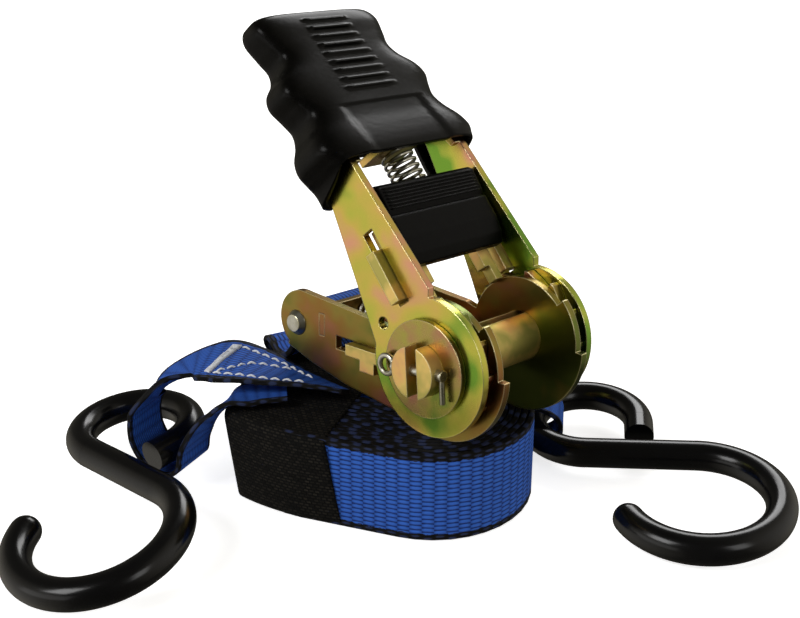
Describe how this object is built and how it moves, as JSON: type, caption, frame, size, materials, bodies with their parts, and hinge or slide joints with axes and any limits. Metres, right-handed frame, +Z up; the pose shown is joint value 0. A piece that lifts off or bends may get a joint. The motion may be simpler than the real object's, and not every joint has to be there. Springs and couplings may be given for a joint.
{
  "type": "ratchet_strap",
  "caption": "Ratchet tie-down strap with blue webbing in a banded coil, a plated ratchet buckle with a rubber grip and release pull, and two vinyl-dipped S-hooks",
  "frame": {"origin": "on the floor, under the middle of the knit band that holds the coil", "axes": "+Z up, +X along the longest way of the laid-out set from one hook to the other, +Y away from the viewer of the picture"},
  "size_m": [0.1939, 0.1411, 0.1209],
  "materials": {
    "blue_webbing": "woven",
    "black_knit": "knitted",
    "yellow_zinc": "yellow passivated zinc plate",
    "bright_zinc": "bright zinc plate",
    "black_vinyl": "dipped vinyl",
    "black_rubber": "moulded",
    "black_plastic": "moulded"
  },
  "bodies": {
    "strap": {"long_strap_coil": "blue_webbing", "long_strap_end": "blue_webbing", "coil_band": "black_knit"},
    "ratchet": {"near_base_plate": "yellow_zinc", "far_base_plate": "yellow_zinc", "anchor_rivet": "bright_zinc", "spring_bar": "yellow_zinc", "short_strap": "blue_webbing", "base_pawl_spring": "bright_zinc"},
    "mandrel": {"front_mandrel_half": "yellow_zinc", "rear_mandrel_half": "yellow_zinc", "near_ratchet_wheel": "yellow_zinc", "far_ratchet_wheel": "yellow_zinc", "near_washer": "yellow_zinc", "far_washer": "yellow_zinc", "near_cotter_pin": "bright_zinc", "far_cotter_pin": "bright_zinc"},
    "handle": {"handle_frame": "yellow_zinc", "handle_grip": "black_rubber", "handle_pawl_spring": "bright_zinc"},
    "handle_pawl_set": {"handle_pawl": "yellow_zinc", "release_pull": "black_plastic"},
    "base_pawl_set": {"base_pawl": "yellow_zinc"},
    "left_hook": {"left_hook_wire": "bright_zinc", "left_hook_vinyl": "black_vinyl"},
    "right_hook": {"right_hook_wire": "bright_zinc", "right_hook_vinyl": "black_vinyl"}
  },
  "joints": [
    {"name": "buckle_lift", "type": "slide", "parent": "strap", "child": "ratchet", "axis": [0, 0, 1], "range_m": [0, 0.1]},
    {"name": "mandrel_spin", "type": "hinge", "parent": "ratchet", "child": "mandrel", "pos_m": [0.03777, -0.00627, 0.04712], "axis": [0.4062, 0.9075, -0.1068], "continuous": true},
    {"name": "handle_swing", "type": "hinge", "parent": "ratchet", "child": "handle", "pos_m": [0.03777, -0.00627, 0.04712], "axis": [0.4062, 0.9075, -0.1068], "range_deg": [-36.5, 129.5]},
    {"name": "release_slide", "type": "slide", "parent": "handle", "child": "handle_pawl_set", "axis": [-0.605, 0.3547, 0.7128], "range_m": [0, 0.005], "stiffness_N_per_m": 800, "springref_m": -0.005, "deforming": ["handle_pawl_spring"]},
    {"name": "base_pawl_slide", "type": "slide", "parent": "ratchet", "child": "base_pawl_set", "axis": [-0.9133, 0.3992, -0.0814], "range_m": [0, 0.005], "stiffness_N_per_m": 800, "springref_m": -0.005, "deforming": ["base_pawl_spring"]},
    {"name": "left_hook_swing", "type": "hinge", "parent": "strap", "child": "left_hook", "pos_m": [-0.04249, -0.02149, 0.01294], "axis": [0.1922, 0.9802, 0.0472], "range_deg": [0, 25]},
    {"name": "right_hook_swing", "type": "hinge", "parent": "ratchet", "child": "right_hook", "pos_m": [0.04193, 0.03191, 0.00624], "axis": [0.2174, -0.9743, -0.0587], "range_deg": [0, 20]}
  ]
}
